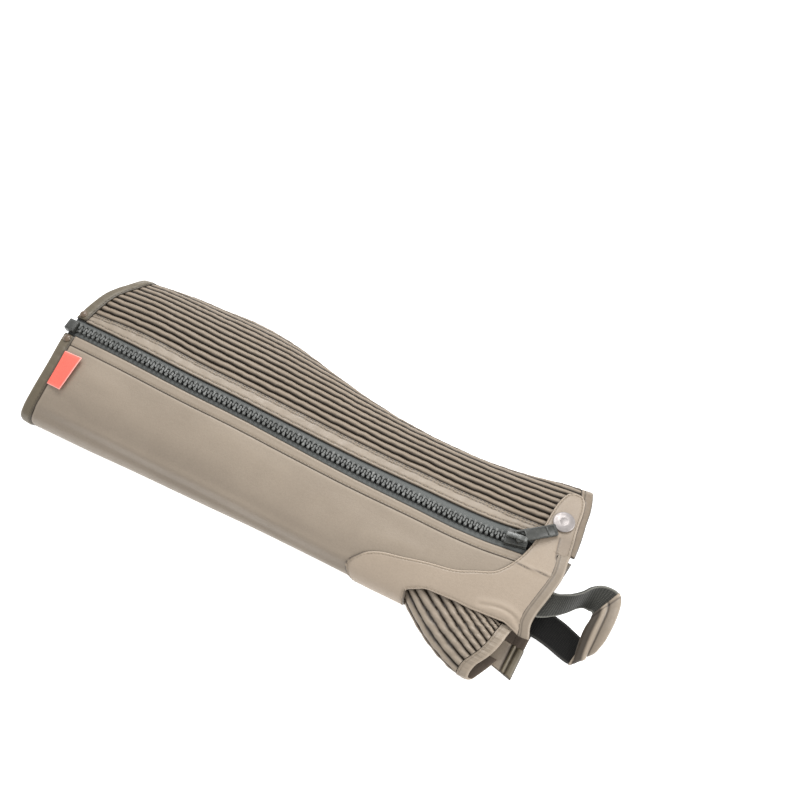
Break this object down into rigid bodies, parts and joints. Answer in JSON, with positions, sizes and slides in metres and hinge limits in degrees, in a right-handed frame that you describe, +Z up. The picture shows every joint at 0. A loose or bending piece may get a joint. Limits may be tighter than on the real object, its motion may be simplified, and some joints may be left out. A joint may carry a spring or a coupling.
{
  "type": "leather half chap",
  "caption": "Leather lower-leg half chap laid flat, with a side zip, a pleated elastic calf panel, a snap tab over the zip's end and an elastic strap under the foot.",
  "frame": {"origin": "middle of the outline's bounding box, on the surface that the half chap lies on", "axes": "+X along the leg towards the ankle, +Y towards the calf, +Z up out of the zip side"},
  "size_m": [0.464, 0.1768, 0.044],
  "materials": {
    "taupe_leather": "satin fine-grained leather",
    "dark_binding": "satin leather binding",
    "zip_tape": "matte woven tape",
    "black_plastic": "satin moulded plastic",
    "elastic": "matte ribbed elastic",
    "nickel": "satin nickel plate",
    "coral_label": "bare woven label"
  },
  "bodies": {
    "chap": {"ankle_binding_rear": "dark_binding", "ankle_binding_yoke": "taupe_leather", "ankle_yoke": "taupe_leather", "corner_binding": "dark_binding", "corner_panel": "taupe_leather", "gusset": "taupe_leather", "gusset_binding": "dark_binding", "knee_binding": "dark_binding", "label": "coral_label", "main_panel": "taupe_leather", "rivet_back_front": "nickel", "rivet_back_rear": "nickel", "rivet_front": "dark_binding", "rivet_rear": "dark_binding", "snap_cap": "nickel", "strap_lower": "elastic", "strap_sleeve": "taupe_leather", "strap_upper": "elastic", "stretch_border": "taupe_leather", "stretch_panel": "taupe_leather", "zip_box": "black_plastic", "zip_chain": "black_plastic", "zip_facing_front": "taupe_leather", "zip_facing_rear": "taupe_leather", "zip_slider": "black_plastic", "zip_tape_front": "zip_tape", "zip_tape_rear": "zip_tape"},
    "pull": {"zip_pull": "black_plastic"}
  },
  "joints": [
    {"name": "pull_hinge", "type": "hinge", "parent": "chap", "child": "pull", "pos_m": [0.14377, 0.01387, 0.03201], "axis": [0.5446, -0.8387, 0], "range_deg": [0, 150]}
  ]
}
